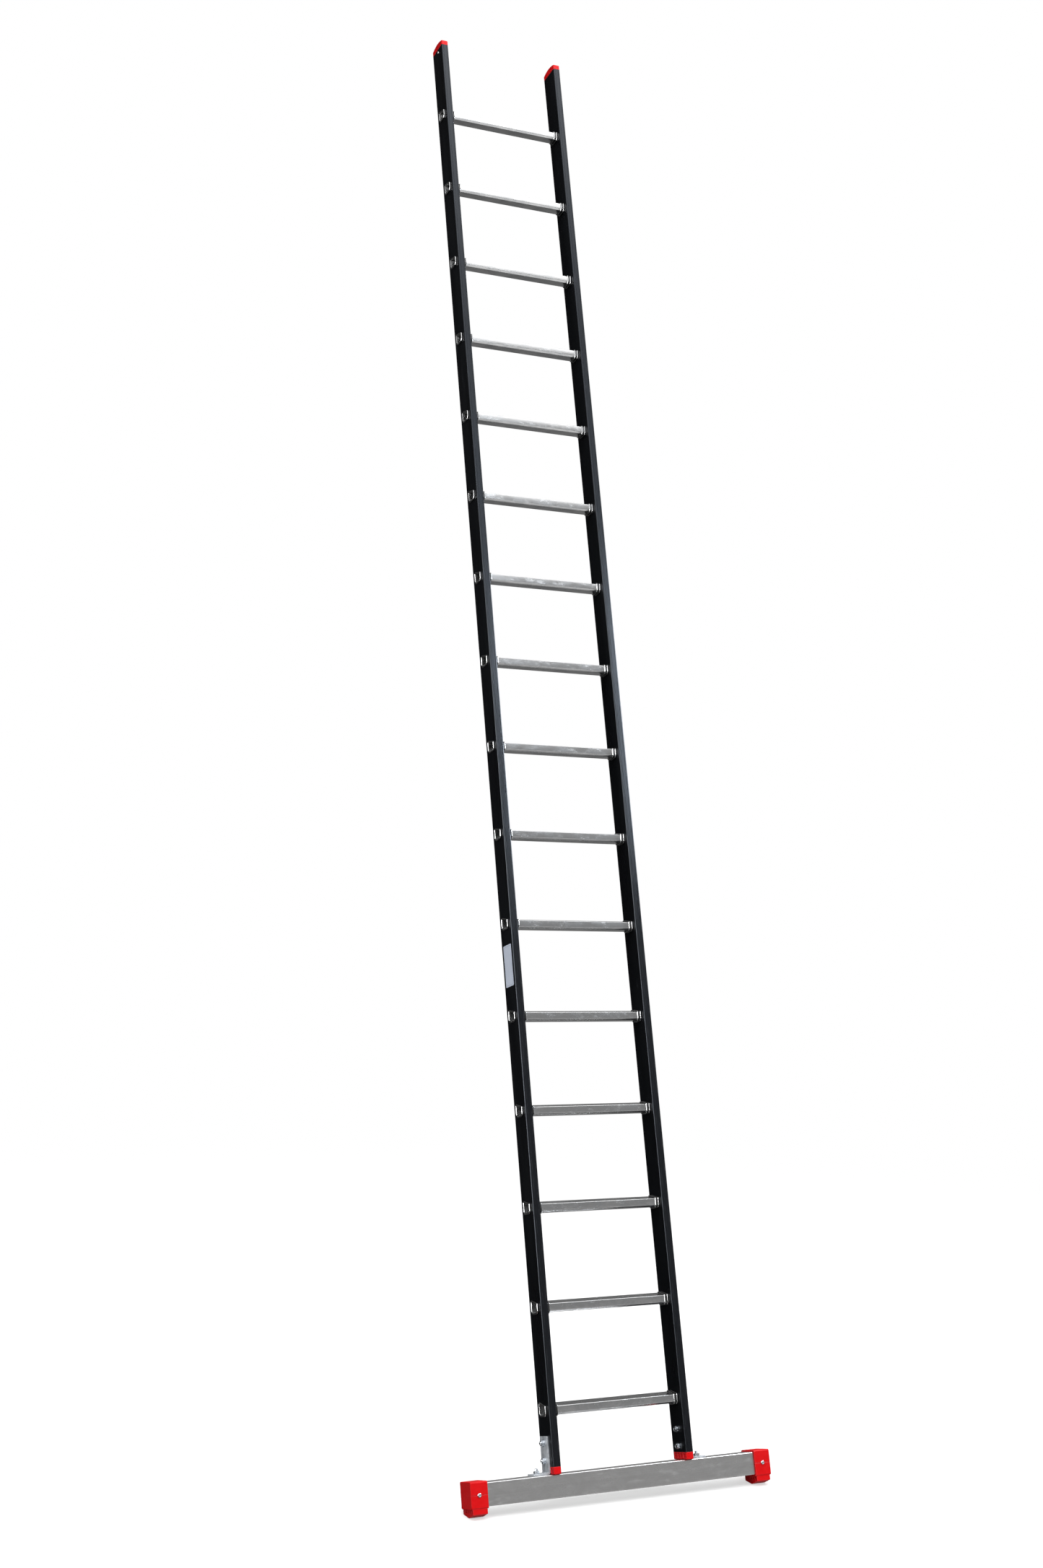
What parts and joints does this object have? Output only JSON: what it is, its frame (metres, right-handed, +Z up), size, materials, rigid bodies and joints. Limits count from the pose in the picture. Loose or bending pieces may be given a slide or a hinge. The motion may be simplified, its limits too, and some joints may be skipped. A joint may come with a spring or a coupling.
{
  "type": "straight ladder",
  "caption": "Leaning straight ladder: black box-section stiles, hollow metal rungs and a wide stabiliser bar with V feet at the bottom.",
  "frame": {"origin": "on the floor, midway between the rear soles of the two feet, with the ladder leaning at its working angle of 75 degrees", "axes": "+Z up, +X across the ladder to the climber's right, +Y from the climber towards the wall that the top leans on"},
  "size_m": [0.854, 1.1547, 4.092],
  "materials": {
    "black_coating": "satin black coating on extruded aluminium",
    "rung_aluminium": "bare extruded, fine lengthwise lines",
    "bar_aluminium": "bare extruded, brushed and lightly scuffed",
    "red_plastic": "moulded, satin",
    "galvanised_steel": "hot-dip galvanised",
    "zinc_plated_steel": "bright zinc plating",
    "rivet_aluminium": "bright",
    "label_film": "printed film, blank"
  },
  "bodies": {
    "root": {"stile_left": "black_coating", "stile_right": "black_coating", "rung_01": "rung_aluminium", "rung_02": "rung_aluminium", "rung_03": "rung_aluminium", "rung_04": "rung_aluminium", "rung_05": "rung_aluminium", "rung_06": "rung_aluminium", "rung_07": "rung_aluminium", "rung_08": "rung_aluminium", "rung_09": "rung_aluminium", "rung_10": "rung_aluminium", "rung_11": "rung_aluminium", "rung_12": "rung_aluminium", "rung_13": "rung_aluminium", "rung_14": "rung_aluminium", "rung_15": "rung_aluminium", "rung_16": "rung_aluminium", "top_cap_left": "red_plastic", "bottom_plug_left": "red_plastic", "end_cap_left": "red_plastic", "bracket_left": "galvanised_steel", "top_cap_right": "red_plastic", "bottom_plug_right": "red_plastic", "end_cap_right": "red_plastic", "bracket_right": "galvanised_steel", "stabiliser_bar": "bar_aluminium", "stile_bolts": "zinc_plated_steel", "stile_washers": "zinc_plated_steel", "stile_nuts": "zinc_plated_steel", "bar_bolts": "zinc_plated_steel", "bar_nuts": "zinc_plated_steel", "end_cap_bolts": "zinc_plated_steel", "end_cap_washers": "zinc_plated_steel", "end_cap_nuts": "zinc_plated_steel", "top_cap_rivets": "rivet_aluminium", "label": "label_film"}
  },
  "joints": []
}
